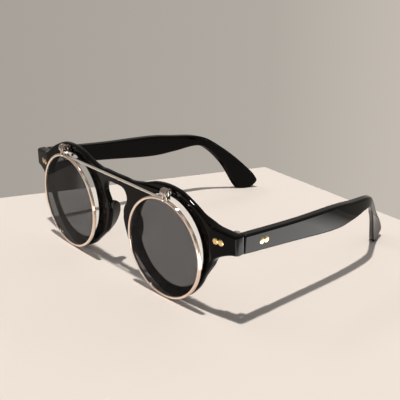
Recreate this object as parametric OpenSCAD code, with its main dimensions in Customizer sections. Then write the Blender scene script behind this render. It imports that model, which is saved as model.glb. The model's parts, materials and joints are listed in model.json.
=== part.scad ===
/* [Black front] */
// Overall width across the end pieces
front_w = 145.2; // [142:0.2:152]
// Distance between the two lens centres
lens_spacing = 70; // [68:0.5:72]
// Radius of each eye opening
eye_r = 20.1; // [19.8:0.1:20.6]
// Height of the eye openings' centres above the metal rims' centres
eye_up = 2.1; // [1.6:0.1:2.4]
// Width of the black rim beside each eye opening
rim_w = 2.8; // [2.6:0.1:3]
// Thickness of the front over the rims and the brow
front_t = 2.6; // [2.5:0.1:3.4]
// Thickness of the end pieces, which carry the temple hinges
end_t = 4.7; // [4.4:0.1:5.2]
// Length of the end pieces, whose faces turn back
end_len = 12.6; // [12.2:0.2:13.4]
// Angle at which the end pieces turn back from the front, in degrees
end_turn = 8; // [4:1:12]
// Height of the end pieces at their outer corners
end_h = 8.4; // [8:0.1:9.4]
// Height of the end pieces' middle line above the lens centres
end_mid = 10.7; // [10.4:0.1:11.6]
// Radius of the brow line about each lens centre
brow_r = 26.8; // [26.6:0.1:28.4]
// Height of the bridge's top edge above the lens centres
bridge_top = 22.5; // [22:0.1:23.6]
// Height of the keyhole's top above the lens centres
keyhole_top = 17.7; // [16.8:0.1:18.4]
// Greatest width of the keyhole
keyhole_w = 15.8; // [14:0.2:16.4]
// Gap for the nose between the two flanges
nose_gap = 10.2; // [9:0.2:11.4]
// Forward lean of the whole front, in degrees
lean = 3.2; // [1:0.2:4]
// Face wrap of each half of the front, in degrees
wrap = 2.7; // [1.5:0.1:3.5]

/* [Nose pads] */
// How far the pads reach behind the front
pad_reach = 5.6; // [4.8:0.2:7]
// Height of the pads
pad_h = 15.4; // [14:0.2:17]
// Thickness of the pads at their root
pad_t = 3.6; // [3:0.1:4.4]
// Outward flare of the pads towards the face, in degrees
pad_flare = 30; // [22:1:36]
// Splay of the pads towards their lower ends, in degrees
pad_splay = 9; // [4:1:12]

/* [Clear lenses] */
// Thickness of the clear lenses
clear_t = 1.4; // [1.2:0.1:1.7]
// Depth of the groove that holds the clear lenses
clear_groove = 0.6; // [0.4:0.1:0.8]

/* [Flip rims] */
// Inner radius of the metal rims
flip_r = 21; // [20.4:0.1:21.2]
// Radial width of the metal rims
flip_bead = 1.3; // [1.2:0.1:1.5]
// Depth of the metal rims, front to back
flip_t = 1.5; // [1.4:0.1:1.8]
// Gap between the metal rims and the black front
flip_gap = 2.4; // [2.1:0.1:2.6]
// Thickness of the dark lenses
dark_t = 0.9; // [0.8:0.1:1]
// Depth of the groove that holds the dark lenses
dark_groove = 0.5; // [0.4:0.05:0.6]
// Depth of the line turned into the outside of the metal rims
line_d = 0.15; // [0.1:0.05:0.2]
// Diameter of the straight bar that joins the metal rims
bar_d = 1.1; // [1:0.1:1.4]
// Width of the slit that closes round the dark lens
slit_w = 0.4; // [0.2:0.1:0.5]

/* [Flip hinges] */
// Height of the flip axis above the lens centres
axis_up = 25; // [24.6:0.1:25.2]
// Distance of the flip axis behind the metal rims' front plane
axis_back = 1.2; // [1:0.1:1.3]
// Distance of each flip hinge's middle outboard of the lens centre
hinge_out = 2.2; // [0:0.2:3]
// Radius of the hinge ears
ear_r = 1.8; // [1.6:0.05:2]
// Thickness of one hinge ear
ear_t = 1.2; // [1:0.1:1.4]
// Thickness of the fixed knuckle between the ears
knuckle_t = 1; // [0.8:0.1:1.4]
// Radius of the flip hinge screw
flip_pin_r = 0.6; // [0.5:0.05:0.7]
// Radius of the flip hinge screw's head
flip_head_r = 1.15; // [1:0.05:1.3]
// Height of the flip hinge screw's head
flip_head_h = 0.4; // [0.3:0.1:0.5]
// How deep the fixed knuckle's stem is set into the brow
stem_in = 1.8; // [1.4:0.1:2]
// Height of the fixed knuckle's stem
stem_h = 2; // [1.8:0.1:2.4]

/* [Temples] */
// Distance from the front joint to the start of the bend
temple_bend = 87; // [80:1:94]
// Distance from the start of the bend to the middle of the tip
tip_reach = 28; // [26:1:32]
// Thickness of the temples
temple_t = 4.2; // [4:0.1:4.8]
// Height of the temples at the front joint
temple_h = 8.2; // [8:0.1:9.4]
// Greatest height of the temples, ahead of the bend
temple_belly = 10.8; // [10:0.2:12]
// Height of the temples at the bend
temple_neck = 5.4; // [5:0.2:7]
// Least width of the temples, just below the bend
tip_neck = 4.8; // [4.4:0.2:5.6]
// Width of the tips
tip_w = 11; // [10:0.2:12]
// Drop of the temples from the joint to the bend
temple_fall = 5.2; // [4.5:0.1:6.5]
// Angle at which the temples run inwards, in degrees
toe = 4.8; // [4:0.1:5.6]
// How far the tips curl inwards
tip_curl = 16; // [13:0.5:18]
// Gap between the temples and the front
butt_gap = 0.15; // [0.1:0.05:0.3]
// Height of the stiffening wire in the temples
core_h = 1.8; // [1.4:0.1:2.2]
// Thickness of the stiffening wire in the temples
core_t = 1.2; // [1:0.1:1.4]

/* [Temple hinges] */
// Radius of the hinge knuckles
barrel_r = 1.5; // [1.4:0.05:1.6]
// Height of each hinge, over all its knuckles
barrel_h = 6; // [5.8:0.1:7.2]
// Radius of the hinge screw
screw_r = 0.7; // [0.6:0.05:0.8]
// Radius of the hinge screw's head
screw_head_r = 1.2; // [1.1:0.05:1.3]
// Height of the hinge screw's head
screw_head_h = 0.5; // [0.4:0.1:0.7]
// Thickness of the hinge leaves
leaf_t = 0.9; // [0.7:0.1:1]
// Height of the hinge leaves
leaf_h = 5; // [4.6:0.2:5.6]
// Length of the leaf on the temple
leaf_len = 12.5; // [12:0.5:14]

/* [Rivets] */
// Radius of each lobe of the figure-of-eight rivet heads
rivet_r = 1.4; // [1.2:0.05:1.6]
// Distance between the two lobes of a rivet head
rivet_pitch = 2.6; // [2.4:0.1:2.8]
// Thickness of the rivet heads
rivet_t = 0.3; // [0.2:0.05:0.4]
// Radius of the rivet shanks
shank_r = 0.7; // [0.6:0.05:0.8]
// Distance of the front rivets from the front's outer edge
rivet_in = 9; // [8.6:0.1:9.2]
// Distance of the temple rivets behind the joint
rivet_along = 11.4; // [10:0.1:11.6]

/* [Hidden] */
$fn = 96;

// Clearances
fixed_gap = 0.02;
run_gap = 0.05;
side_gap = 0.1;
swing_gap = 0.2;
rest_cut = 0.2;
big = 400;

// Points along each stretch of a drawn curve
steps = 4;

// Places across the thickness, measured back from the metal rims' front plane
front_face = flip_t + flip_gap;
front_back = front_face + front_t;
end_back = front_face + end_t;
rim_r = eye_r + rim_w;
lens_x = lens_spacing / 2;
half_w = front_w / 2;
end_x = half_w - end_len;

// The lens centres stand so high that the black rims just rest on the table
wrap_back = lens_x * sin(wrap);
lens_z = rim_r * cos(lean) - (front_face + wrap_back) * sin(lean) - rest_cut;

// A point of the left half of the front, turned by the wrap and the lean
function turned(u, w, v) = let (x = u * cos(wrap) - w * sin(wrap), y = u * sin(wrap) + w * cos(wrap))
    [x, y * cos(lean) - v * sin(lean), y * sin(lean) + v * cos(lean) + lens_z];

// Flip axis, which runs straight across both lenses
axis_w = wrap_back + axis_back;
hinge_x = lens_x + hinge_out;
slot_w = knuckle_t + 2 * side_gap;
hinge_w = slot_w + 2 * ear_t;

// Depth of the end pieces' rear faces at a place across the front
function butt_w(u) = front_face + (u - end_x) * tan(end_turn) + end_t / cos(end_turn);

// Temple joint: the outer corner of the end piece and the pivot, before the origin is set
joint = turned(half_w, butt_w(half_w), end_mid);
pivot_u = half_w - temple_t - swing_gap - barrel_r;
pivot_gap = side_gap + swing_gap;
pivot_w = butt_w(pivot_u) + (barrel_r + pivot_gap) / cos(end_turn);
pivot_local = turned(pivot_u, pivot_w, end_mid);
// Knuckle bands of a hinge: a third each, with a running gap at both ends of the middle one
band = barrel_h / 3;

// A smooth curve through a list of points
function bow(a, b, c, d, t) = 0.5 * (2 * b + (c - a) * t + (2 * a - 5 * b + 4 * c - d) * t * t
    + (3 * b - a - 3 * c + d) * t * t * t);
function curve(p) = let (last = len(p) - 1) concat(
    [for (i = [0 : last - 1]) for (k = [0 : steps - 1])
        bow(p[max(i - 1, 0)], p[i], p[i + 1], p[min(i + 2, last)], k / steps)],
    [p[last]]);
function unit(v) = v / norm(v);
function left_of(v) = [-v[1], v[0]];
// Direction of a drawn curve at one of its points
function along(p, i) = unit(p[min(i + 1, len(p) - 1)] - p[max(i - 1, 0)]);

// Outline of the left half of the front, about the lens centre
function at(r, a) = [lens_x + r * cos(a), r * sin(a)];
past_middle = -3;
half_gap = nose_gap / 2;
end_top = end_mid + end_h / 2;
end_low = end_mid - end_h / 2;
brow_line = curve([
    [past_middle, bridge_top], [half_gap + 2, bridge_top], [half_gap + 7, bridge_top - 0.2],
    at(brow_r + 1.3, 122), at(brow_r + 0.4, 108), at(brow_r, 92), at(brow_r + 0.2, 74), at(brow_r + 0.5, 57),
    at(brow_r + 1.5, 45), [end_x + 0.4, end_top + 1.6], [half_w - 6, end_top + 0.5], [half_w - 0.6, end_top]]);
end_line = curve([
    [half_w, end_top - 0.6], [half_w, end_low + 0.8], [half_w - 0.8, end_low],
    [half_w - 4, end_low - 0.6], [half_w - 8.4, end_low - 2.4], [end_x + 0.7, 1.6],
    at(rim_r + 1, -5), at(rim_r - 0.8, -18), at(rim_r - 1.1, -32), at(rim_r - 1.1, -44), at(rim_r - 0.6, -60),
    at(rim_r - 0.1, -76), at(rim_r, -90)]);
nose_line = curve([
    at(rim_r, -90), at(rim_r - 0.2, -105), at(rim_r - 0.4, -119), at(rim_r - 0.1, -131), at(rim_r + 0.4, -143),
    at(rim_r + 2.1, -155), [half_gap + 3.4, -7.1], [half_gap + 1.4, -2.7], [half_gap, 2.4], [half_gap, 5.4],
    [half_gap + 0.5, 8.4], [keyhole_w / 2 - 0.4, 11.4], [keyhole_w / 2, keyhole_top - 3.8],
    [keyhole_w / 2 - 1.3, keyhole_top - 1.2], [keyhole_w / 2 - 4, keyhole_top - 0.1], [past_middle, keyhole_top]]);
front_outline = concat(brow_line, end_line, [for (i = [1 : len(nose_line) - 1]) nose_line[i]]);

// Plan of the left half of the front: the rims' thickness, a ramp and the turned end piece
ramp = 3;
front_plan = [
    [past_middle, front_face], [end_x, front_face], [half_w + ramp, front_face + (end_len + ramp) * tan(end_turn)],
    [half_w + ramp, butt_w(half_w + ramp)], [end_x, butt_w(end_x)], [end_x - ramp, front_back],
    [past_middle, front_back]];

// Side view of a temple: distance behind the joint, height above the table, half height
joint_z = joint[2];
bend_z = joint_z - temple_fall;
start_drop = 0.4;
temple_line = [
    [0, joint_z - start_drop, temple_h / 2],
    [temple_bend * 0.36, joint_z - temple_fall * 0.56, (temple_h + temple_belly) / 4 - 0.2],
    [temple_bend * 0.68, bend_z + 0.5, temple_belly / 2],
    [temple_bend * 0.84, bend_z + 0.1, (temple_belly + temple_neck) / 4 + 0.3],
    [temple_bend, bend_z, temple_neck / 2],
    [temple_bend + tip_reach * 0.28, bend_z - 3.8, tip_neck / 2],
    [temple_bend + tip_reach * 0.6, bend_z * 0.57, (tip_neck + tip_w) / 4 - 0.5],
    [temple_bend + tip_reach * 0.88, bend_z * 0.22, tip_w / 2],
    [temple_bend + tip_reach, bend_z * 0.06, tip_w / 2]];
temple_curve = curve(temple_line);
tip_round = 2.4;
function side_point(i, up) = let (p = [for (q = temple_curve) [q[0], q[1]]])
    p[i] + left_of(along(p, i)) * up;
function cap_point(a, h, e) = let (p = [for (q = temple_curve) [q[0], q[1]]], n = len(p) - 1, d = along(p, n))
    p[n] + d * e * cos(a) + left_of(d) * h * sin(a);
tip_half = temple_curve[len(temple_curve) - 1][2];
side_outline = concat(
    [for (i = [0 : len(temple_curve) - 2]) side_point(i, temple_curve[i][2])],
    [for (a = [90 : -15 : -90]) cap_point(a, tip_half, tip_round)],
    [for (i = [len(temple_curve) - 2 : -1 : 0]) side_point(i, -temple_curve[i][2])]);
core_first = steps - 1;
core_last = len(temple_curve) - 4;
core_outline = concat(
    [for (i = [core_first : core_last]) side_point(i, core_h / 2)],
    [for (i = [core_last : -1 : core_first]) side_point(i, -core_h / 2)]);

// Plan of a temple: the outer face runs straight, then curls inwards; distance behind, distance inwards
plan_line = curve([
    [-6, 0], [temple_bend * 0.3, 0], [temple_bend * 0.6, 0], [temple_bend * 0.8, tip_curl * 0.035],
    [temple_bend, tip_curl * 0.17], [temple_bend + tip_reach * 0.4, tip_curl * 0.46],
    [temple_bend + tip_reach * 0.8, tip_curl * 0.78], [temple_bend + tip_reach * 1.25, tip_curl],
    [temple_bend + tip_reach * 1.6, tip_curl * 1.12]]);
function plan_point(i, inner) = let (p = plan_line[i], n = left_of(along(plan_line, i)))
    [-(p[1] + n[1] * inner), p[0] + n[0] * inner];
function plan_band(near, far) = concat(
    [for (i = [0 : len(plan_line) - 1]) plan_point(i, near)],
    [for (i = [len(plan_line) - 1 : -1 : 0]) plan_point(i, far)]);

// The model's origin lies under the middle of its depth
tip_s = let (p = [for (q = temple_curve) [q[0], q[1]]], n = len(p) - 1, d = along(p, n))
    p[n][0] + sqrt(pow(tip_round * d[0], 2) + pow(tip_half * d[1], 2));
rear_y = joint[1] + tip_s * cos(toe) - lookup(tip_s, plan_line) * sin(toe);
fore_y = axis_w * cos(lean) - axis_up * sin(lean) - ear_r;
shift_y = -(rear_y + fore_y) / 2;

// Colours
black = "#171513";
steel = "#d8d2cc";
gold = "#d9b36a";
smoke = "#3b3d40";
clear = "#e9eff0";

// Placing: the front's own axes are across, back and up from the lens line
module place_front() {
    translate([0, shift_y, lens_z]) rotate([lean, 0, 0]) children();
}
module place_half() {
    place_front() rotate([0, 0, wrap]) children();
}
module turn_end() {
    translate([end_x, front_face, 0]) rotate([0, 0, end_turn]) translate([-end_x, -front_face, 0]) children();
}
module place_temple() {
    translate([joint[0], joint[1] + shift_y, 0]) rotate([0, 0, toe]) children();
}
module place_pivot() {
    translate([pivot_local[0], pivot_local[1] + shift_y, pivot_local[2]]) children();
}
module on_right() {
    mirror([1, 0, 0]) children();
}

// A flat shape drawn across and up, made solid from one depth to another
module slab(w0, w1) {
    translate([0, w1, 0]) rotate([90, 0, 0]) linear_extrude(w1 - w0) children();
}
// A round rod that runs back from one depth to another
module rod(x, z, r, w0, w1) {
    translate([x, w1, z]) rotate([90, 0, 0]) cylinder(r = r, h = w1 - w0);
}
// A round rod that runs outwards from one place to another
module cross_rod(x0, x1, w, z, r) {
    translate([x0, w, z]) rotate([0, 90, 0]) cylinder(r = r, h = x1 - x0);
}
module above_table() {
    translate([-big / 2, -big / 2, 0]) cube([big, big, big]);
}
module outer_side() {
    translate([0, -big / 2, -big / 2]) cube([big, big, big]);
}

// Shapes that cut or fill the same places
module figure_eight(w0, w1, z) {
    rod(-rivet_pitch / 2, z, rivet_r, w0, w1);
    rod(rivet_pitch / 2, z, rivet_r, w0, w1);
}
module shanks(w0, w1, z, r) {
    rod(-rivet_pitch / 2, z, r, w0, w1);
    rod(rivet_pitch / 2, z, r, w0, w1);
}
module stem(gap) {
    translate([hinge_x - knuckle_t / 2 - gap, axis_w, axis_up - stem_h / 2 - gap])
        cube([knuckle_t + 2 * gap, front_face - axis_back + stem_in + gap, stem_h + 2 * gap]);
}

// Black front
module front_half() {
    difference() {
        intersection() {
            slab(0, big) polygon(front_outline);
            translate([0, 0, -big / 2]) linear_extrude(big) polygon(front_plan);
        }
        rod(lens_x, eye_up, eye_r, -1, big);
        rod(lens_x, eye_up, eye_r + clear_groove, clear_w - fixed_gap, clear_w + clear_t + fixed_gap);
        turn_end() translate([half_w - rivet_in, 0, 0]) shanks(0, big, end_mid, shank_r + fixed_gap);
    }
}
module front_frame() {
    color(black) intersection() {
        translate([0, shift_y, lens_z]) rotate([lean, 0, 0]) union() {
            front_side();
            on_right() front_side();
        }
        above_table();
    }
}
module front_side() {
    difference() {
        intersection() {
            rotate([0, 0, wrap]) front_half();
            outer_side();
        }
        stem(fixed_gap);
    }
}

// Moulded nose pads, glued to the back of the front
pad_mid = -0.2;
pad_root = half_gap + 0.8;
module nose_pad() {
    place_half() translate([pad_root, 0, 0]) rotate([0, -pad_splay, 0]) translate([-pad_root, 0, 0]) intersection() {
        translate([0, 0, pad_mid - pad_h / 2]) linear_extrude(pad_h) polygon([
            [pad_root, front_back], [pad_root + pad_t, front_back],
            [pad_root + pad_t + 0.6 * pad_reach * tan(pad_flare), front_back + 0.6 * pad_reach],
            [pad_root + 2 + pad_reach * tan(pad_flare), front_back + pad_reach - 0.4],
            [pad_root + 1 + pad_reach * tan(pad_flare), front_back + pad_reach],
            [pad_root + 0.5 * pad_reach * tan(pad_flare), front_back + 0.55 * pad_reach]]);
        translate([0, front_back, pad_mid]) rotate([90, 0, 90]) linear_extrude(big) polygon(curve([
            [0, -pad_h / 2], [pad_reach * 0.35, -pad_h / 2 + 1.2], [pad_reach * 0.68, -pad_h / 2 + 3.2],
            [pad_reach * 0.9, -pad_h / 2 + 5.7], [pad_reach, pad_h / 2 - 5.9],
            [pad_reach * 0.85, pad_h / 2 - 2.8], [pad_reach * 0.5, pad_h / 2 - 1], [0, pad_h / 2]]));
    }
}
module nose_pad_left() { color(black) nose_pad(); }
module nose_pad_right() { color(black) on_right() nose_pad(); }

// Clear lenses, held in the black front's grooves
clear_w = front_face + (front_t - clear_t) / 2;
module clear_lens() {
    place_half() rod(lens_x, eye_up, eye_r + clear_groove - fixed_gap, clear_w, clear_w + clear_t);
}
module clear_lens_left() { color(clear) clear_lens(); }
module clear_lens_right() { color(clear) on_right() clear_lens(); }

// Rivets through the front, which hold the front hinge leaves
module front_rivet() {
    place_half() turn_end() translate([half_w - rivet_in, 0, 0]) {
        figure_eight(front_face - rivet_t, front_face, end_mid);
        shanks(front_face, end_back + leaf_t, end_mid, shank_r);
    }
}
module front_rivet_left() { color(gold) front_rivet(); }
module front_rivet_right() { color(gold) on_right() front_rivet(); }

// Hinge leaves on the front, with the upper and lower knuckles
module barrel(from, to, r) {
    translate([0, 0, from]) cylinder(r = r, h = to - from);
}
leaf_out = end_x + (pivot_u - end_x) * cos(end_turn) + (pivot_w - front_face) * sin(end_turn);
leaf_in = half_w - rivet_in - rivet_pitch / 2 - rivet_r;
knuckle_trim = 0.2;
module front_leaf() {
    difference() {
        union() {
            place_half() turn_end() translate([leaf_in, end_back, end_mid - leaf_h / 2])
                cube([leaf_out - leaf_in, leaf_t, leaf_h]);
            for (low = [-barrel_h / 2, barrel_h / 2 - band]) {
                place_pivot() barrel(low, low + band, barrel_r);
                place_half() turn_end() translate([leaf_out - barrel_r, end_back, end_mid + low + knuckle_trim])
                    cube([barrel_r, barrel_r + pivot_gap, band - 2 * knuckle_trim]);
            }
        }
        place_pivot() barrel(-barrel_h, barrel_h, screw_r + fixed_gap);
        place_pivot() barrel(-band / 2 - side_gap, band / 2 + side_gap, barrel_r + swing_gap);
        place_pivot() barrel(barrel_h / 2 - screw_head_h, barrel_h, screw_head_r + fixed_gap);
        place_half() turn_end() translate([half_w - rivet_in, 0, 0])
            shanks(0, big, end_mid, shank_r + fixed_gap);
    }
}
module front_leaf_left() { color(steel) front_leaf(); }
module front_leaf_right() { color(steel) on_right() front_leaf(); }

// Screws that the temples turn on
module hinge_screw() {
    place_pivot() difference() {
        union() {
            barrel(-barrel_h / 2, barrel_h / 2, screw_r);
            barrel(barrel_h / 2 - screw_head_h, barrel_h / 2, screw_head_r);
        }
        translate([-big / 2, -0.15, barrel_h / 2 - 0.25]) cube([big, 0.3, big]);
    }
}
module hinge_screw_left() { color(steel) hinge_screw(); }
module hinge_screw_right() { color(steel) on_right() hinge_screw(); }

// Fixed knuckles, set into the brow
module flip_knuckle() {
    place_front() difference() {
        union() {
            cross_rod(hinge_x - knuckle_t / 2, hinge_x + knuckle_t / 2, axis_w, axis_up, ear_r);
            stem(0);
        }
        cross_rod(0, big, axis_w, axis_up, flip_pin_r + run_gap);
    }
}
module flip_knuckle_left() { color(steel) flip_knuckle(); }
module flip_knuckle_right() { color(steel) on_right() flip_knuckle(); }

// Metal rims, turned as rings and slit under the hinge
flip_out = flip_r + flip_bead;
dark_w = (flip_t - dark_t) / 2;
line_w = flip_t * 0.42;
module flip_rim() {
    place_front() difference() {
        rotate([0, 0, wrap]) translate([lens_x, flip_t, 0]) rotate([90, 0, 0]) rotate_extrude() polygon([
            [flip_r, 0], [flip_out - 0.3, 0], [flip_out, 0.3],
            [flip_out, flip_t - line_w - line_d], [flip_out - line_d, flip_t - line_w],
            [flip_out, flip_t - line_w + line_d], [flip_out, flip_t - 0.5], [flip_out - 0.4, flip_t],
            [flip_r + 0.3, flip_t], [flip_r, flip_t - 0.3],
            [flip_r, flip_t - dark_w + fixed_gap], [flip_r + dark_groove, flip_t - dark_w + fixed_gap],
            [flip_r + dark_groove, dark_w - fixed_gap], [flip_r, dark_w - fixed_gap]]);
        translate([hinge_x - slit_w / 2, -1, 0]) cube([slit_w, big, big]);
    }
}
module flip_rim_left() { color(steel) flip_rim(); }
module flip_rim_right() { color(steel) on_right() flip_rim(); }

// Dark lenses, held in the metal rims' grooves
module dark_lens() {
    place_half() rod(lens_x, 0, flip_r + dark_groove - fixed_gap, dark_w, dark_w + dark_t);
}
module dark_lens_left() { color(smoke) dark_lens(); }
module dark_lens_right() { color(smoke) on_right() dark_lens(); }

// Hinge ears, brazed to the metal rims on both sides of the slit
module flip_ears() {
    place_front() difference() {
        for (x = [hinge_x - hinge_w / 2, hinge_x + slot_w / 2]) {
            cross_rod(x, x + ear_t, axis_w, axis_up, ear_r);
            translate([x, axis_w - ear_r * 0.6, flip_r]) cube([ear_t, ear_r * 1.2, axis_up - flip_r]);
        }
        rotate([0, 0, wrap]) rod(lens_x, 0, flip_out, -big / 2, big / 2);
        cross_rod(0, big, axis_w, axis_up, flip_pin_r + fixed_gap);
        cross_rod(hinge_x + hinge_w / 2 - flip_head_h, big, axis_w, axis_up, flip_head_r + fixed_gap);
        cross_rod(0, hinge_x - hinge_w / 2 + flip_head_h, axis_w, axis_up, flip_head_r + fixed_gap);
    }
}
module flip_ears_left() { color(steel) flip_ears(); }
module flip_ears_right() { color(steel) on_right() flip_ears(); }

// Screws that the metal rims flip on, which also close the rims
module flip_screw() {
    place_front() difference() {
        union() {
            cross_rod(hinge_x - hinge_w / 2 + 0.1, hinge_x + hinge_w / 2, axis_w, axis_up, flip_pin_r);
            cross_rod(hinge_x + hinge_w / 2 - flip_head_h, hinge_x + hinge_w / 2, axis_w, axis_up, flip_head_r);
        }
        translate([hinge_x + hinge_w / 2 - 0.2, axis_w - 0.15, 0]) cube([1, 0.3, big]);
    }
}
module flip_screw_left() { color(steel) flip_screw(); }
module flip_screw_right() { color(steel) on_right() flip_screw(); }

// Straight bar, brazed along the tops of both metal rims
bar_up = flip_out - 0.3;
bar_w = wrap_back + flip_t * 0.6;
module flip_bar() {
    bar_end = hinge_x - hinge_w / 2;
    color(steel) place_front() difference() {
        cross_rod(-bar_end, bar_end, bar_w, bar_up, bar_d / 2);
        for (side = [-1, 1])
            rotate([0, 0, side * wrap]) rod(side * lens_x, 0, flip_out, -big / 2, big / 2);
    }
}

// Temples: the side view and the plan meet in one solid
module temple_solid(side, near, far) {
    intersection() {
        translate([-big / 2, 0, 0]) rotate([90, 0, 90]) linear_extrude(big) polygon(side);
        translate([0, 0, -big / 2]) linear_extrude(big) polygon(plan_band(near, far));
    }
}
module behind_joint(w) {
    place_half() turn_end() translate([-big / 2, w, -big / 2]) cube([big, big, big]);
}
// The pivot as the temple sees it, across and back from its joint
pivot_x = (pivot_local[0] - joint[0]) * cos(toe) + (pivot_local[1] - joint[1]) * sin(toe);
pivot_y = (pivot_local[1] - joint[1]) * cos(toe) - (pivot_local[0] - joint[0]) * sin(toe);
leaf_start = pivot_y + barrel_r + swing_gap;
leaf_drop = 1;
leaf_z = joint_z - leaf_drop - leaf_h / 2;
rivet_z = joint_z - 1.3;
module leaf_plate(gap) {
    translate([-temple_t - leaf_t / 2 - gap, leaf_start - gap, leaf_z - gap])
        cube([leaf_t + 2 * gap, leaf_len + 2 * gap, leaf_h + 2 * gap]);
}
module temple_shanks(from, to, r) {
    translate([0, rivet_along, rivet_z]) rotate([0, 0, -90]) shanks(from, to, 0, r);
}
module temple() {
    intersection() {
        place_temple() difference() {
            temple_solid(side_outline, 0, temple_t);
            temple_solid(core_outline, (temple_t - core_t) / 2 - fixed_gap, (temple_t + core_t) / 2);
            leaf_plate(fixed_gap);
            temple_shanks(-big, big, shank_r + fixed_gap);
        }
        behind_joint(end_back + butt_gap);
        above_table();
    }
}
module temple_left() { color(black) temple(); }
module temple_right() { color(black) on_right() temple(); }

// Stiffening wires inside the temples
module temple_core() {
    place_temple() temple_solid(core_outline, (temple_t - core_t) / 2, (temple_t + core_t) / 2);
}
module temple_core_left() { color(steel) temple_core(); }
module temple_core_right() { color(steel) on_right() temple_core(); }

// Hinge leaves on the temples, with the middle knuckle
module temple_leaf() {
    difference() {
        union() {
            place_temple() leaf_plate(0);
            place_temple() translate([pivot_x + barrel_r / 2, pivot_y, joint_z - band / 2 + side_gap])
                cube([-temple_t - fixed_gap - pivot_x - barrel_r / 2, barrel_r + 1, band - 2 * side_gap]);
            place_pivot() barrel(-band / 2 + side_gap, band / 2 - side_gap, barrel_r);
        }
        place_pivot() barrel(-barrel_h, barrel_h, screw_r + run_gap);
        place_temple() temple_shanks(-big, big, shank_r + fixed_gap);
    }
}
module temple_leaf_left() { color(steel) temple_leaf(); }
module temple_leaf_right() { color(steel) on_right() temple_leaf(); }

// Rivets through the temples, which hold the temple leaves
module temple_rivet() {
    place_temple() translate([0, rivet_along, rivet_z]) rotate([0, 0, -90]) {
        figure_eight(0, rivet_t, 0);
        shanks(-temple_t - leaf_t / 2, 0, 0, shank_r);
    }
}
module temple_rivet_left() { color(gold) temple_rivet(); }
module temple_rivet_right() { color(gold) on_right() temple_rivet(); }

front_frame();
nose_pad_left();
nose_pad_right();
clear_lens_left();
clear_lens_right();
front_rivet_left();
front_rivet_right();
front_leaf_left();
front_leaf_right();
hinge_screw_left();
hinge_screw_right();
flip_knuckle_left();
flip_knuckle_right();
flip_rim_left();
flip_rim_right();
dark_lens_left();
dark_lens_right();
flip_ears_left();
flip_ears_right();
flip_screw_left();
flip_screw_right();
flip_bar();
temple_left();
temple_right();
temple_core_left();
temple_core_right();
temple_leaf_left();
temple_leaf_right();
temple_rivet_left();
temple_rivet_right();
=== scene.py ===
import json
import math

import bmesh
import bpy
from mathutils import Matrix, Vector


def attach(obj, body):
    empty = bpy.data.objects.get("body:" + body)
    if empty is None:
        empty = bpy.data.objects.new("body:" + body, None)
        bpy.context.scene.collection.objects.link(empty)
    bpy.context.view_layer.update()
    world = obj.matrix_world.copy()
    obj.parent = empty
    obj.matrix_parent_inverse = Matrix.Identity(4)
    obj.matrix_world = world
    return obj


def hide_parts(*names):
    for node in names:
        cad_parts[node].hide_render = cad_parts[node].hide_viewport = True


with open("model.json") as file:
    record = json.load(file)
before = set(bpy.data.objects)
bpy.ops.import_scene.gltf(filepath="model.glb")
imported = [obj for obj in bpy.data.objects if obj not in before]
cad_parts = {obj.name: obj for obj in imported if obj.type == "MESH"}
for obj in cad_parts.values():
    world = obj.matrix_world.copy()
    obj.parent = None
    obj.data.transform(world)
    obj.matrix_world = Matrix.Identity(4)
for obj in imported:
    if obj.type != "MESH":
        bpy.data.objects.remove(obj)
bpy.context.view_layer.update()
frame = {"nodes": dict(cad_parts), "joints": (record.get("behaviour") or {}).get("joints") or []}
nodes = frame["nodes"]
pivots = {joint["name"]: joint["pos_m"] for joint in frame["joints"]}
MM = 0.001
SIDES = (("left", 1), ("right", -1))

# Sizes of the front in millimetres, as in the part
LENS_X = 35.0
EYE_R = 20.1
EYE_UP = 2.1
RIM_R = 22.9
HALF_W = 72.6
END_X = 60.0
END_TURN = math.radians(8)
END_T = 4.7
END_MID = 10.7
END_H = 8.4
HALF_GAP = 5.1
LEAN = math.radians(3.2)
WRAP = math.radians(2.7)
FRONT_FACE = 3.9
FRONT_T = 2.6
BRIDGE_TOP = 22.5
KEYHOLE_TOP = 17.7

# The flip axis lies so far above and behind the lens centres, which gives the front's place from its joint
AXIS_UP = 25.0
AXIS_BACK = 1.2
axis_w = LENS_X * math.sin(WRAP) + AXIS_BACK
axis_y, axis_z = (v / MM for v in pivots["flip_up"][1:])
SHIFT_Y = axis_y - axis_w * math.cos(LEAN) + AXIS_UP * math.sin(LEAN)
LENS_Z = axis_z - axis_w * math.sin(LEAN) - AXIS_UP * math.cos(LEAN)


# Shared shapes
def stand(x, y, up):
    """Leans a wrapped point of the front and sets it in its place, in metres."""
    return Vector((x, y * math.cos(LEAN) - up * math.sin(LEAN) + SHIFT_Y,
                   y * math.sin(LEAN) + up * math.cos(LEAN) + LENS_Z)) * MM


def place(u, w, v, side=1):
    """A point of the front, given across, back and up from the lens line, in metres."""
    return stand(side * (u * math.cos(WRAP) - w * math.sin(WRAP)), u * math.sin(WRAP) + w * math.cos(WRAP), v)


def smooth_line(points, steps):
    """A smooth curve through a list of points."""
    line = []
    last = len(points) - 1
    for i in range(last):
        near = (points[max(i - 1, 0)], points[i], points[i + 1], points[min(i + 2, last)])
        for k in range(steps):
            t = k / steps
            line.append(tuple(
                0.5 * (2 * b + (c - a) * t + (2 * a - 5 * b + 4 * c - d) * t * t
                       + (3 * b - a - 3 * c + d) * t * t * t)
                for a, b, c, d in zip(*near)))
    line.append(tuple(points[last]))
    return line


def follow(line, x):
    """Height and angle of a drawn line at x."""
    for (x0, y0), (x1, y1) in zip(line, line[1:]):
        if x <= x1:
            break
    return y0 + (y1 - y0) * (x - x0) / (x1 - x0), math.atan2(y1 - y0, x1 - x0)


def at(r, degrees):
    """A point at a radius and an angle about the lens centre."""
    a = math.radians(degrees)
    return (LENS_X + r * math.cos(a), r * math.sin(a))


def ease(t):
    """Smooth growth from 0 to 1."""
    t = min(max(t, 0.0), 1.0)
    return t * t * (3 - 2 * t)


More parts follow.
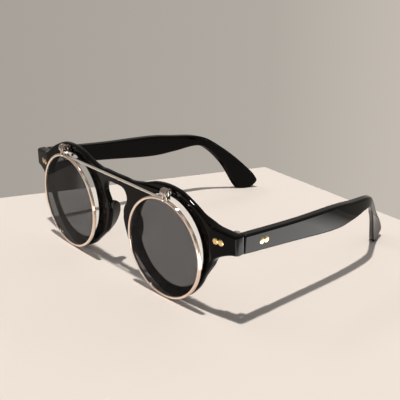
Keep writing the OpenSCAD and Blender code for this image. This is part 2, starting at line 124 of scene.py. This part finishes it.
def finish_mesh(bm, name, material, smooth=True):
    mesh = bpy.data.meshes.new(name)
    bm.to_mesh(mesh)
    bm.free()
    if smooth:
        mesh.shade_smooth()
    piece = bpy.data.objects.new(name, mesh)
    bpy.context.scene.collection.objects.link(piece)
    mesh.materials.append(material)
    return piece


def even_normals(piece):
    weights = piece.modifiers.new("even_normals", "WEIGHTED_NORMAL")
    weights.weight = 60
    weights.keep_sharp = True


def solid_copy(node, name, material, width):
    """A copy of a CAD node with its sharp edges rounded over a width in millimetres."""
    flat_angle, sharp_angle = math.radians(1.5), math.radians(30)
    bm = bmesh.new()
    bm.from_mesh(nodes[node].data)
    bmesh.ops.remove_doubles(bm, verts=bm.verts, dist=2e-6)
    bmesh.ops.dissolve_limit(bm, angle_limit=flat_angle, verts=bm.verts, edges=bm.edges)
    sharp = [e for e in bm.edges if len(e.link_faces) == 2 and e.calc_face_angle(0) > sharp_angle]
    bmesh.ops.bevel(bm, geom=sharp, offset=width * MM, affect="EDGES", segments=3, profile=0.5,
                    material=-1, clamp_overlap=True)
    bmesh.ops.recalc_face_normals(bm, faces=bm.faces)
    piece = finish_mesh(bm, name, material)
    even_normals(piece)
    return piece


# Node helpers
def new_material(name):
    m = bpy.data.materials.new(name)
    m.use_nodes = True
    tree = m.node_tree
    return m, tree, tree.nodes["Principled BSDF"]


def add(tree, kind, **values):
    """A node whose inputs or settings take the values given."""
    n = tree.nodes.new(kind)
    for key, value in values.items():
        if key in n.inputs:
            n.inputs[key].default_value = value
        else:
            setattr(n, key, value)
    return n


def object_coords(tree):
    return add(tree, "ShaderNodeTexCoord").outputs["Object"]


def ramp(tree, source, stops):
    r = tree.nodes.new("ShaderNodeValToRGB")
    e = r.color_ramp.elements
    while len(e) < len(stops):
        e.new(0.5)
    for stop, (where, colour) in zip(e, stops):
        stop.position = where
        stop.color = (*colour, 1)
    tree.links.new(source, r.inputs["Fac"])
    return r.outputs["Color"]


def grey(v):
    return (v, v, v)


def noise(tree, coords, scale, detail, roughness=0.5, distortion=0.0):
    n = add(tree, "ShaderNodeTexNoise", Scale=scale, Detail=detail, Roughness=roughness,
            Distortion=distortion)
    tree.links.new(coords, n.inputs["Vector"])
    return n.outputs["Fac"]


def bump(tree, bsdf, height, strength, distance):
    b = add(tree, "ShaderNodeBump", Strength=strength, Distance=distance)
    tree.links.new(height, b.inputs["Height"])
    tree.links.new(b.outputs["Normal"], bsdf.inputs["Normal"])


def maths(tree, operation, a, b, clamp=False):
    """A maths node on two sockets or numbers."""
    n = add(tree, "ShaderNodeMath", operation=operation, use_clamp=clamp)
    for slot, value in zip(n.inputs, (a, b)):
        if isinstance(value, float):
            slot.default_value = value
        else:
            tree.links.new(value, slot)
    return n.outputs["Value"]


def fade(tree, value, start, end, low, high):
    """Goes from low to high while a value goes from start to end."""
    n = add(tree, "ShaderNodeMapRange",
            **{"From Min": start, "From Max": end, "To Min": low, "To Max": high})
    tree.links.new(value, n.inputs["Value"])
    return n.outputs["Result"]


def mix(tree, share, first, second, output):
    """Sends the output the first shader, and the second for its share."""
    blend = tree.nodes.new("ShaderNodeMixShader")
    tree.links.new(share, blend.inputs["Fac"])
    tree.links.new(first.outputs[0], blend.inputs[1])
    tree.links.new(second.outputs[0], blend.inputs[2])
    tree.links.new(blend.outputs["Shader"], output.inputs["Surface"])


# Materials
def make_black_plastic():
    """Polished black with a faint smear and the slight waves of hand buffing."""
    m, tree, bsdf = new_material("black_plastic")
    coords = object_coords(tree)
    tint = noise(tree, coords, 60, 4)
    tree.links.new(ramp(tree, tint, [(0.3, (0.0008, 0.0008, 0.0007)), (0.7, (0.0024, 0.0021, 0.0018))]),
                   bsdf.inputs["Base Color"])
    smear = noise(tree, coords, 140, 5, 0.6, 0.4)
    tree.links.new(ramp(tree, smear, [(0.35, grey(0.03)), (0.75, grey(0.06))]), bsdf.inputs["Roughness"])
    bsdf.inputs["IOR"].default_value = 1.5
    bsdf.inputs["Specular IOR Level"].default_value = 0.1
    wave = noise(tree, coords, 55, 2)
    bump(tree, bsdf, wave, 0.22, 0.2 * MM)
    return m


def make_metal(name, low, high, rough_low, rough_high):
    """Metal between two colours and two roughnesses, with a fine grain."""
    m, tree, bsdf = new_material(name)
    coords = object_coords(tree)
    tint = noise(tree, coords, 90, 3)
    tree.links.new(ramp(tree, tint, [(0.35, low), (0.65, high)]), bsdf.inputs["Base Color"])
    fine = noise(tree, coords, 900, 4, 0.6)
    tree.links.new(ramp(tree, fine, [(0.3, grey(rough_low)), (0.8, grey(rough_high))]),
                   bsdf.inputs["Roughness"])
    bsdf.inputs["Metallic"].default_value = 1.0
    bump(tree, bsdf, fine, 0.05, 0.05 * MM)
    return m


def make_lens(name, colour, through, ior):
    """A see-through lens: light rays pass straight, so it throws a tinted shadow."""
    m, tree, bsdf = new_material(name)
    coords = object_coords(tree)
    bsdf.inputs["Transmission Weight"].default_value = 1.0
    bsdf.inputs["IOR"].default_value = ior
    tint = noise(tree, coords, 30, 2)
    dark = tuple(c * 0.96 for c in colour)
    tree.links.new(ramp(tree, tint, [(0.3, dark), (0.7, colour)]), bsdf.inputs["Base Color"])
    haze = noise(tree, coords, 200, 4, 0.6)
    tree.links.new(ramp(tree, haze, [(0.45, grey(0.0)), (0.9, grey(0.03))]), bsdf.inputs["Roughness"])
    shadow = add(tree, "ShaderNodeBsdfTransparent", Color=(*through, 1))
    rays = add(tree, "ShaderNodeLightPath").outputs
    mix(tree, rays["Is Shadow Ray"], bsdf, shadow, tree.nodes["Material Output"])
    return m


black_plastic = make_black_plastic()
silver_metal = make_metal("silver_metal", (0.86, 0.82, 0.77), (0.95, 0.92, 0.88), 0.06, 0.14)
rose_gold = make_metal("rose_gold", (0.88, 0.70, 0.58), (0.95, 0.82, 0.72), 0.05, 0.12)
hinge_metal = make_metal("hinge_metal", (0.34, 0.29, 0.26), (0.50, 0.44, 0.40), 0.06, 0.16)
steel = make_metal("steel", (0.52, 0.51, 0.50), (0.66, 0.65, 0.64), 0.22, 0.36)
gold_metal = make_metal("gold_metal", (0.78, 0.55, 0.24), (0.88, 0.68, 0.36), 0.12, 0.24)
dark_lens = make_lens("dark_lens", (0.145, 0.15, 0.158), (0.34, 0.34, 0.35), 1.13)
clear_lens = make_lens("clear_lens", (0.97, 0.985, 0.985), (0.96, 0.97, 0.97), 1.16)


# Black front: one flat outline with two eye openings, rounded, then bent to the wrap and the end pieces
EDGE_R = 0.85
EYE_POINTS = 128
SWELL_FROM, SWELL_OVER = 54.5, 5.5
BEND_LINES = (0, 2.5, 5, 8, SWELL_FROM, 56, 57.5, 59, END_X, 66)
MIDDLE_SOFT = 3.0
MIDDLE_HALF = 8.0


def front_outline():
    end_top = END_MID + END_H / 2
    end_low = END_MID - END_H / 2
    brow = [(0, BRIDGE_TOP), (HALF_GAP + 2, BRIDGE_TOP), (HALF_GAP + 7, BRIDGE_TOP - 0.2),
            at(28.1, 122), at(27.2, 108), at(26.8, 92), at(27.0, 74), at(27.3, 57), at(28.3, 45),
            (END_X + 0.4, end_top + 1.6), (HALF_W - 6, end_top + 0.5), (HALF_W - 1.2, end_top)]
    end = [(HALF_W - 0.3, end_top - 0.2), (HALF_W, end_top - 0.9), (HALF_W, end_low + 1.0),
           (HALF_W - 0.3, end_low + 0.2), (HALF_W - 1.0, end_low)]
    under = [(HALF_W - 1.6, end_low - 0.05), (HALF_W - 4, end_low - 0.6), (HALF_W - 8.4, end_low - 2.4),
             (END_X + 0.7, 1.6), at(RIM_R + 1, -5), at(RIM_R - 0.8, -18), at(RIM_R - 1.1, -32),
             at(RIM_R - 1.1, -44), at(RIM_R - 0.6, -60), at(RIM_R - 0.1, -76), at(RIM_R, -90),
             at(RIM_R - 0.2, -105), at(RIM_R - 0.4, -119), at(RIM_R - 0.1, -131), at(RIM_R + 0.4, -143),
             at(RIM_R + 2.1, -155)]
    flange = [(HALF_GAP + 3.4, -7.1), (HALF_GAP + 1.4, -2.7), (HALF_GAP, 2.4), (HALF_GAP, 5.4)]
    keyhole = [(HALF_GAP + 0.5, 8.4), (7.5, 11.4), (7.9, 13.9), (6.6, 16.5), (3.9, KEYHOLE_TOP - 0.1),
               (0, KEYHOLE_TOP)]
    half = smooth_line(brow, 8) + end + smooth_line(under + flange + keyhole, 8)
    other = [(-u, v) for u, v in reversed(half[1:-1])]
    return half + other


def front_depth(u, share):
    """Depth behind the metal rims' front plane, for a share of the thickness."""
    a = abs(u)
    grown = ease((a - SWELL_FROM) / SWELL_OVER)
    thick = FRONT_T + (END_T / math.cos(END_TURN) - FRONT_T) * grown
    return FRONT_FACE + max(a - END_X, 0) * math.tan(END_TURN) + share * thick


def flat_front():
    """The outline and the eye openings as one flat mesh with rounded edges."""
    curve = bpy.data.curves.new("front_flat", "CURVE")
    curve.dimensions = "2D"
    curve.fill_mode = "BOTH"
    curve.bevel_depth = EDGE_R
    curve.bevel_resolution = 4
    curve.offset = -EDGE_R
    curve.extrude = FRONT_T / 2 - EDGE_R
    turns = [math.tau * k / EYE_POINTS for k in range(EYE_POINTS)]
    eyes = [[(side * (LENS_X + EYE_R * math.cos(a)), EYE_UP + EYE_R * math.sin(a)) for a in turns]
            for _, side in SIDES]
    for points in [front_outline()] + eyes:
        spline = curve.splines.new("POLY")
        spline.points.add(len(points) - 1)
        for point, (u, v) in zip(spline.points, points):
            point.co = (u, v, 0, 1)
        spline.use_cyclic_u = True
    flat = bpy.data.objects.new("front_flat", curve)
    bpy.context.scene.collection.objects.link(flat)
    bpy.context.view_layer.update()
    mesh = bpy.data.meshes.new_from_object(flat)
    bpy.data.objects.remove(flat)
    return mesh


def make_front():
    bm = bmesh.new()
    bm.from_mesh(flat_front())
    bmesh.ops.remove_doubles(bm, verts=bm.verts, dist=1e-4)
    for u in BEND_LINES:
        for side in ((1,) if u == 0 else (1, -1)):
            bmesh.ops.bisect_plane(bm, geom=bm.verts[:] + bm.edges[:] + bm.faces[:], dist=1e-4,
                                   plane_co=(side * u, 0, 0), plane_no=(1, 0, 0))
    for vert in bm.verts:
        u, up, back = vert.co
        w = front_depth(u, min(max((back + FRONT_T / 2) / FRONT_T, 0), 1))
        # The wrap turns softly over the bridge
        far = math.hypot(u, MIDDLE_SOFT) - MIDDLE_SOFT ** 2 / math.hypot(u, 3 * MIDDLE_SOFT)
        x = u * math.cos(WRAP) - w * math.sin(WRAP) * max(-1, min(1, u / MIDDLE_HALF))
        vert.co = stand(x, far * math.sin(WRAP) + w * math.cos(WRAP), up)
        vert.co.z = max(vert.co.z, 0)
    bmesh.ops.recalc_face_normals(bm, faces=bm.faces)
    piece = finish_mesh(bm, "front", black_plastic)
    even_normals(piece)
    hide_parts("front_frame")
    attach(piece, "front")


make_front()


# Temples: rounded sections along the side view, curled inwards to the tips
TEMPLE_T = 4.2
TEMPLE_H, BELLY, NECK, TIP_NECK, TIP_W = 8.2, 10.8, 5.4, 4.8, 11.0
BEND, TIP_REACH, TIP_ROUND = 87.0, 28.0, 1.8
FALL, CURL = 5.2, 16.0
TOE = math.radians(4.8)
BUTT_GAP, BUTT_OVER = 0.15, 6.0
CORNER_R, CORNER_POINTS = 1.0, 7
# Distance behind the butt's face and fullness of its first sections; the first is smaller all round
BUTT_STEPS = ((0, 0.0), (0.12, 0.55), (0.4, 1.0))
BUTT_CUT = 0.35
# Share of thickness lost at the tip's end
TIP_THIN = 0.35
JOINT = place(HALF_W, front_depth(HALF_W, 1), END_MID) / MM


def temple_side():
    """Side view of a temple: distance behind the joint, height above the table, half height."""
    top = JOINT.z
    low = top - FALL
    return smooth_line([
        (0, top - 0.4, TEMPLE_H / 2),
        (BEND * 0.36, top - FALL * 0.56, (TEMPLE_H + BELLY) / 4 - 0.2),
        (BEND * 0.68, low + 0.5, BELLY / 2),
        (BEND * 0.84, low + 0.1, (BELLY + NECK) / 4 + 0.3),
        (BEND, low, NECK / 2),
        (BEND + TIP_REACH * 0.28, low - 3.8, TIP_NECK / 2),
        (BEND + TIP_REACH * 0.6, low * 0.57, (TIP_NECK + TIP_W) / 4 - 0.5),
        (BEND + TIP_REACH * 0.88, low * 0.22, TIP_W / 2),
        (BEND + TIP_REACH, low * 0.06, TIP_W / 2)], 8)


# Top view of a temple: distance behind the joint, curl
TEMPLE_PLAN = smooth_line([
    (-6, 0), (BEND * 0.3, 0), (BEND * 0.6, 0), (BEND * 0.8, CURL * 0.035), (BEND, CURL * 0.17),
    (BEND + TIP_REACH * 0.4, CURL * 0.46), (BEND + TIP_REACH * 0.8, CURL * 0.78),
    (BEND + TIP_REACH * 1.25, CURL), (BEND + TIP_REACH * 1.6, CURL * 1.12)], 10)


def section(half, thick, r):
    """A rounded rectangle, given up from its middle and in from its outer face."""
    points = []
    corners = ((half - r, r, 90, 180), (half - r, thick - r, 0, 90),
               (r - half, thick - r, 270, 360), (r - half, r, 180, 270))
    for up, deep, first, last in corners:
        for k in range(CORNER_POINTS):
            a = math.radians(last - (last - first) * k / (CORNER_POINTS - 1))
            points.append((up + r * math.sin(a), deep + r * math.cos(a)))
    return points


def temple_stations():
    """Places along a temple: distance, height, half height, heading, turn of the tip's end, fullness."""
    line = temple_side()
    stations = []
    for i, (s, z, half) in enumerate(line):
        before, after = line[max(i - 1, 0)], line[min(i + 1, len(line) - 1)]
        heading = Vector((after[0] - before[0], after[1] - before[1])).normalized()
        stations.append((s, z, half, heading, 0.0, 1.0))
    s, z, half, heading = stations[-1][:4]
    for k in range(1, 8):
        turn = math.radians(90 * k / 8)
        past = TIP_ROUND * math.sin(turn)
        stations.append((s + heading.x * past, z + heading.y * past, half, heading, turn, 1.0))
    s, z, half, heading = stations[0][:4]
    butt = [(s + past, z, half, heading, 0.0, full) for past, full in BUTT_STEPS]
    return butt + stations[1:]


def temple_point(station, up, deep, side):
    """Sets a point of a section in its place beside the front."""
    s, z, _, heading, _, _ = station
    y = s - heading.y * up
    height = z + heading.x * up
    curl, angle = follow(TEMPLE_PLAN, y)
    x = -(curl + deep * math.cos(angle))
    y += deep * math.sin(angle)
    # Near its butt a temple is cut to the end piece's rear face
    skew = WRAP + END_TURN - TOE
    y += ease(1 - s / BUTT_OVER) * (BUTT_GAP + x * math.tan(skew) - (height - JOINT.z) * math.tan(LEAN))
    return Vector((side * (JOINT.x + x * math.cos(TOE) - y * math.sin(TOE)),
                   JOINT.y + x * math.sin(TOE) + y * math.cos(TOE), max(height, 0))) * MM


def make_temple(name, side):
    stations = temple_stations()
    bm = bmesh.new()
    bmesh.ops.create_circle(bm, cap_ends=True, radius=1, segments=4 * CORNER_POINTS)
    face = bm.faces[:][0]
    rings = [list(face.verts)]
    for _ in stations[1:]:
        made = bmesh.ops.extrude_face_region(bm, geom=[face])
        face = [g for g in made["geom"] if isinstance(g, bmesh.types.BMFace)][0]
        rings.append(list(face.verts))
    for ring, station in zip(rings, stations):
        half, turn, full = station[2], station[4], station[5]
        cut = BUTT_CUT * (1 - full)
        thinned = TIP_THIN * (1 - math.cos(turn))
        half = (half - cut) * math.cos(turn) ** 0.75
        thick = TEMPLE_T * (1 - thinned) - 2 * cut
        r = min(CORNER_R if full else 0.75 * CORNER_R, half * 0.9, thick * 0.45)
        for vert, (up, deep) in zip(ring, section(half, thick, r)):
            vert.co = temple_point(station, up, deep + cut + TEMPLE_T * thinned / 2, side)
    bmesh.ops.recalc_face_normals(bm, faces=bm.faces)
    piece = finish_mesh(bm, "temple_arm_" + name, black_plastic)
    even_normals(piece)
    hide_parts("temple_" + name, "temple_core_" + name)
    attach(piece, "temple_" + name)


for side_name, side in SIDES:
    make_temple(side_name, side)


# Metal rims: a turned section with a front bead, a line and a rear band, closed by a slit at the hinge
FLIP_R = 21.0
FLIP_BEAD = 1.3
FLIP_T = 1.5
HINGE_X = LENS_X + 2.2
SLIT_W = 0.4


def make_rim(name, side):
    inner, outer = FLIP_R, FLIP_R + FLIP_BEAD
    mid, bead = (inner + outer) / 2, FLIP_BEAD / 2
    arc = [math.radians(15 * k) for k in range(13)]
    profile = [(mid - bead * math.cos(a), bead * (1 - math.sin(a))) for a in arc]
    profile += [(outer, 0.74), (outer - 0.04, 0.8), (outer - 0.14, 0.86), (outer - 0.14, 0.92),
                (outer - 0.04, 0.98), (outer, 1.05), (outer - 0.02, 1.25), (outer - 0.12, 1.4),
                (outer - 0.3, FLIP_T - 0.01), (inner + 0.25, FLIP_T - 0.01), (inner + 0.06, 1.42),
                (inner, 1.3), (inner, 1.22), (inner + 0.03, 1.19), (inner + 0.03, 0.7)]
    slit = SLIT_W / outer
    start = math.acos((HINGE_X - LENS_X) / outer) - slit / 2
    bm = bmesh.new()
    face = bm.faces.new([bm.verts.new((r, 0, w)) for r, w in profile])
    bmesh.ops.rotate(bm, verts=bm.verts, cent=(0, 0, 0), matrix=Matrix.Rotation(start, 3, "Z"))
    bmesh.ops.spin(bm, geom=[face] + bm.edges[:] + bm.verts[:], cent=(0, 0, 0), axis=(0, 0, 1),
                   angle=slit - math.tau, steps=160, use_duplicate=False)
    for vert in bm.verts:
        vert.co = place(LENS_X + vert.co.x, vert.co.z, vert.co.y, side)
    bmesh.ops.recalc_face_normals(bm, faces=bm.faces)
    piece = finish_mesh(bm, "metal_rim_" + name, rose_gold)
    even_normals(piece)
    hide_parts("flip_rim_" + name)
    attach(piece, "flip")


for side_name, side in SIDES:
    make_rim(side_name, side)


# Nose pads: a moulded wing, full at its root and thin at its rear edge
PAD_MID, PAD_HALF, PAD_REACH, PAD_T = -0.2, 7.7, 5.6, 3.6
PAD_FLARE = math.radians(30)
PAD_SLOPE = 1.1
# Depth that the root sinks into the front, room beside the flange, bow and crown of the faces
PAD_SINK, PAD_ROOM, PAD_BOW, PAD_CROWN = 0.6, 0.12, 0.3, 0.07
# Share of the reach kept at the ends, and shares of thickness lost at the rear edge and at the ends
PAD_LEAST, PAD_THIN_BACK, PAD_THIN_ENDS = 0.12, 0.6, 0.25
# Share of the full reach along the pad's height, from its foot to its head
PAD_OUTLINE = smooth_line([(-1.0, 0.0), (-0.9, 0.3), (-0.62, 0.66), (-0.26, 0.9), (0.24, 1.0),
                           (0.64, 0.85), (0.88, 0.52), (1.0, 0.0)], 6)
# The flange's edge behind the pad: height, place across
PAD_ROOT = smooth_line([(-8.2, 9.4), (-7.1, 8.5), (-2.7, 6.5), (2.4, 5.1), (5.4, 5.1), (8.4, 5.6)], 5)


def make_pad(name, side):
    """A cube whose height is bent to the pad's rounded outline, splayed and flared."""
    bm = bmesh.new()
    bmesh.ops.create_cube(bm, size=2)
    bmesh.ops.subdivide_edges(bm, edges=bm.edges[:], cuts=7, use_grid_fill=True)
    for vert in bm.verts:
        back, along, across = (vert.co.x + 1) / 2, vert.co.y, (vert.co.z + 1) / 2
        along = math.copysign(1 - (1 - abs(along)) ** 1.15, along)
        depth = back * PAD_REACH * (PAD_LEAST + (1 - PAD_LEAST) * follow(PAD_OUTLINE, along)[0])
        height = PAD_MID + PAD_HALF * along
        root = follow(PAD_ROOT, height)[0] + PAD_ROOM
        bow = PAD_BOW * along * along
        crown = PAD_CROWN * (1 - (2 * across - 1) ** 2) * (1 - back)
        width = PAD_T * (1 - PAD_THIN_BACK * back ** 1.5) * (1 - PAD_THIN_ENDS * along * along)
        u = root + depth * math.tan(PAD_FLARE) + bow + width * across - crown
        vert.co = place(u, FRONT_FACE + FRONT_T - PAD_SINK + depth * PAD_SLOPE, height, side)
    bmesh.ops.recalc_face_normals(bm, faces=bm.faces)
    piece = finish_mesh(bm, "pad_" + name, black_plastic)
    rounding = piece.modifiers.new("rounding", "SUBSURF")
    rounding.levels = rounding.render_levels = 2
    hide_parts("nose_pad_" + name)
    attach(piece, "front")


for side_name, side in SIDES:
    make_pad(side_name, side)


# Rivet heads: two domed lobes side by side
RIVET_R, RIVET_PITCH, RIVET_T = 1.4, 2.6, 0.3
RIVET_IN = 9.0
RIVET_BACK, RIVET_DOWN = 11.4, 1.3


def make_rivet(node, name, body, centre, across, out):
    profile = [(0, RIVET_T), (0.5, RIVET_T * 0.97), (0.9, RIVET_T * 0.82), (1.2, RIVET_T * 0.5),
               (1.35, RIVET_T * 0.15), (RIVET_R, -0.05), (RIVET_R, -0.3), (0, -0.3)]
    bm = bmesh.new()
    for k in (-0.5, 0.5):
        start = len(bm.verts)
        verts = [bm.verts.new((r, 0, h)) for r, h in profile]
        edges = [bm.edges.new(pair) for pair in zip(verts, verts[1:])]
        bmesh.ops.spin(bm, geom=verts + edges, cent=(0, 0, 0), axis=(0, 0, 1), angle=math.tau,
                       steps=32, use_merge=True)
        bm.verts.ensure_lookup_table()
        bmesh.ops.translate(bm, verts=bm.verts[start:], vec=(k * RIVET_PITCH, 0, 0))
    bmesh.ops.remove_doubles(bm, verts=bm.verts, dist=1e-4)
    up = out.cross(across).normalized()
    for vert in bm.verts:
        vert.co = centre + (across * vert.co.x + up * vert.co.y + out * vert.co.z) * MM
    bmesh.ops.recalc_face_normals(bm, faces=bm.faces)
    piece = finish_mesh(bm, name, gold_metal)
    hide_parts(node)
    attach(piece, body)


def end_face(reach, up, side):
    """A point on the front face of an end piece."""
    return place(END_X + reach * math.cos(END_TURN), FRONT_FACE + reach * math.sin(END_TURN), up, side)


def make_rivets(name, side):
    reach = HALF_W - RIVET_IN - END_X
    middle = end_face(reach, END_MID, side)
    across = (end_face(reach + 1, END_MID, side) - middle).normalized()
    upwards = (end_face(reach, END_MID + 1, side) - middle).normalized()
    make_rivet("front_rivet_" + name, "front_studs_" + name, "front", middle, across,
               across.cross(upwards) * side)
    back = Vector((-side * math.sin(TOE), math.cos(TOE), 0))
    out = Vector((side * math.cos(TOE), math.sin(TOE), 0))
    middle = (Vector((side * JOINT.x, JOINT.y, JOINT.z - RIVET_DOWN)) + back * RIVET_BACK) * MM
    make_rivet("temple_rivet_" + name, "temple_studs_" + name, "temple_" + name, middle, back, out)


for side_name, side in SIDES:
    make_rivets(side_name, side)


# Small metal pieces keep their CAD shape, with their edges eased over a width in millimetres
SMALL = [("flip_ears", "hinge_ears", "flip", hinge_metal, "silver_metal", 0.22),
         ("flip_screw", "flip_hinge_screw", "flip", silver_metal, "silver_metal", 0.07),
         ("flip_knuckle", "fixed_knuckle", "front", hinge_metal, "silver_metal", 0.12),
         ("front_leaf", "front_hinge_leaf", "front", steel, "steel", 0.12),
         ("hinge_screw", "temple_hinge_screw", "front", steel, "steel", 0.08),
         ("temple_leaf", "temple_hinge_leaf", "temple", steel, "steel", 0.1)]
for node, name, body, material, slot, width in SMALL:
    for side_name, _ in SIDES:
        piece = solid_copy(node + "_" + side_name, name + "_" + side_name, material, width)
        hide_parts(node + "_" + side_name)
        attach(piece, body if body != "temple" else "temple_" + side_name)
piece = solid_copy("flip_bar", "rim_bar", silver_metal, 0.1)
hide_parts("flip_bar")
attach(piece, "flip")

# Lenses keep their CAD shape
for side_name, _ in SIDES:
    for node, material in (("dark_lens_", dark_lens), ("clear_lens_", clear_lens)):
        data = nodes[node + side_name].data
        data.materials.clear()
        data.materials.append(material)


# Stage in metres: floor, backdrop, a glowing card that paints a sheen, and the room around
FLOOR_HALF = 3
WALL_CORNER = Vector((-0.0657, 0.0952, 0))
WALL_LEFT = Vector((-0.2856, -0.9583, 0))
WALL_RIGHT = Vector((1.1989, -0.0550, 0))
WALL_H = Vector((0, 0, 0.8))
CARD_NEAR, CARD_FAR = (0.085, -0.2), (0.3, 0.09)
CARD_UP = 0.0005


def rectangle(low, high, up):
    """Corners of a level rectangle."""
    return [(low[0], low[1], up), (high[0], low[1], up), (high[0], high[1], up), (low[0], high[1], up)]


def flat_piece(name, corners, material):
    bm = bmesh.new()
    bm.faces.new([bm.verts.new(c) for c in corners])
    finish_mesh(bm, name, material, False)


def bare_material(name):
    """A material with no shader yet, its kinds of ray, and the place of a point along X, Y and Z."""
    m = bpy.data.materials.new(name)
    m.use_nodes = True
    tree = m.node_tree
    tree.nodes.clear()
    split = tree.nodes.new("ShaderNodeSeparateXYZ")
    tree.links.new(object_coords(tree), split.inputs["Vector"])
    return m, tree, add(tree, "ShaderNodeLightPath").outputs, split.outputs


def glow_in_front(tree, share, glow):
    """A glow on the front side, for a share of the rays, and nothing for the rest."""
    behind = add(tree, "ShaderNodeNewGeometry").outputs["Backfacing"]
    hole = add(tree, "ShaderNodeBsdfTransparent")
    shown = maths(tree, "SUBTRACT", share, behind, True)
    mix(tree, shown, hole, glow, tree.nodes.new("ShaderNodeOutputMaterial"))


def make_floor():
    m, tree, bsdf = new_material("floor_paint")
    colour = (0.80, 0.715, 0.645)
    dust = noise(tree, object_coords(tree), 12, 4)
    low = tuple(c * 0.985 for c in colour)
    tree.links.new(ramp(tree, dust, [(0.3, low), (0.7, colour)]), bsdf.inputs["Base Color"])
    bsdf.inputs["Roughness"].default_value = 0.55
    flat_piece("floor", rectangle((-FLOOR_HALF, -FLOOR_HALF), (FLOOR_HALF, FLOOR_HALF), 0), m)


def make_backdrop():
    """Two glowing walls that only the camera, reflections and the lenses see, and only from their front;
    their glow is painted light and shade.
    """
    m, tree, rays, point = bare_material("backdrop_painted_light")
    seen = maths(tree, "MAXIMUM", rays["Is Camera Ray"], rays["Is Glossy Ray"])
    seen = maths(tree, "MAXIMUM", seen, rays["Is Transmission Ray"])
    # Painted shade: darker behind the far dark lens than beside it, for rays through the lenses; painted
    # light: brighter towards the right
    behind = fade(tree, point["Y"], -0.017, -0.014, 0.12, 1.0)
    direct = maths(tree, "SUBTRACT", 1.0, rays["Is Transmission Ray"])
    level = maths(tree, "MAXIMUM", behind, direct)
    along = fade(tree, point["X"], -0.12, 0.03, 0.93, 1.32)
    glow = add(tree, "ShaderNodeEmission", Color=(0.41, 0.375, 0.335, 1))
    tree.links.new(maths(tree, "MULTIPLY", level, along), glow.inputs["Strength"])
    glow_in_front(tree, seen, glow)
    walls = (("backdrop_left", WALL_CORNER + WALL_LEFT, WALL_CORNER),
             ("backdrop_right", WALL_CORNER, WALL_CORNER + WALL_RIGHT))
    for name, a, b in walls:
        flat_piece(name, [a, b, b + WALL_H, a + WALL_H], m)


def make_painted_sheen_card():
    """A pale glowing card on the floor, no lamp, that paints a reflected sheen on the near temple; seen in
    reflections and through lenses.
    """
    m, tree, rays, point = bare_material("card_glow")
    # Painted sheen: the glow fades towards the card's edges and only glossy rays see it
    across = fade(tree, point["X"], 0.125, 0.142, 1.0, 0.25)
    along = fade(tree, point["Y"], 0.055, 0.08, 1.0, 0.0)
    share = maths(tree, "MULTIPLY", maths(tree, "MULTIPLY", across, along), rays["Is Glossy Ray"])
    glow_in_front(tree, share, add(tree, "ShaderNodeEmission", Color=(1.0, 0.98, 0.94, 1), Strength=6.5))
    flat_piece("painted_sheen_card", rectangle(CARD_NEAR, CARD_FAR, CARD_UP), m)


def make_room():
    """Dim fill light, and pale patches of ceiling and wall that only polished surfaces and lenses show."""
    room = bpy.data.worlds.new("soft_room")
    bpy.context.scene.world = room
    room.use_nodes = True
    tree = room.node_tree
    tree.nodes.clear()
    fill = add(tree, "ShaderNodeBackground", Color=(0.93, 0.95, 1.0, 1), Strength=0.17)
    mirrored = add(tree, "ShaderNodeBackground", Strength=1.1)
    patches = noise(tree, add(tree, "ShaderNodeTexCoord").outputs["Generated"], 2.6, 2, 0.4, 0.6)
    tones = [(0.44, (0.02, 0.019, 0.017)), (0.54, (0.30, 0.29, 0.27)), (0.64, (1.0, 0.98, 0.95))]
    tree.links.new(ramp(tree, patches, tones), mirrored.inputs["Color"])
    rays = add(tree, "ShaderNodeLightPath").outputs
    mix(tree, rays["Is Glossy Ray"], fill, mirrored, tree.nodes.new("ShaderNodeOutputWorld"))


make_floor()
make_backdrop()
make_painted_sheen_card()
make_room()


# Lamps: one small lamp high above, a soft box at the left and a strip behind
def lamp(name, kind, energy, where, target, size, colour):
    """A lamp that looks at a target; the size is an angle for the sun and two lengths for a panel."""
    data = bpy.data.lights.new(name, kind)
    data.energy = energy
    data.color = colour
    if kind == "AREA":
        data.shape = "RECTANGLE"
        data.size, data.size_y = size
    else:
        data.angle = size
    item = bpy.data.objects.new(name, data)
    bpy.context.scene.collection.objects.link(item)
    item.location = where
    item.rotation_euler = (Vector(target) - Vector(where)).to_track_quat("-Z", "Y").to_euler()


lamp("ceiling_light", "SUN", 2.75, (-0.02, -0.11, 1), (0, 0, 0), math.radians(2.5), (1, 0.98, 0.96))
lamp("softbox_left", "AREA", 0.6, (-0.55, -0.30, 0.55), (0, 0, 0.02), (0.35, 0.12), (1, 0.98, 0.95))
lamp("strip_back", "AREA", 0.5, (0.10, 0.65, 0.55), (0, 0, 0.02), (0.6, 0.05), (1, 0.99, 0.97))

# Camera: the photograph's place in metres, and its turns about X, Y and Z in degrees
CAMERA_AT = (0.3078, -0.281647, 0.17242)
CAMERA_TURNS = (69.7919, -1.5108, 49.4614)
camera = bpy.data.cameras.new("camera")
camera.sensor_width = 36
camera.lens = 83.26
camera.clip_start = 0.01
view = bpy.data.objects.new("camera", camera)
bpy.context.scene.collection.objects.link(view)
view.location = CAMERA_AT
view.rotation_euler = [math.radians(a) for a in CAMERA_TURNS]
bpy.context.scene.camera = view
bpy.context.scene.view_settings.view_transform = "Standard"
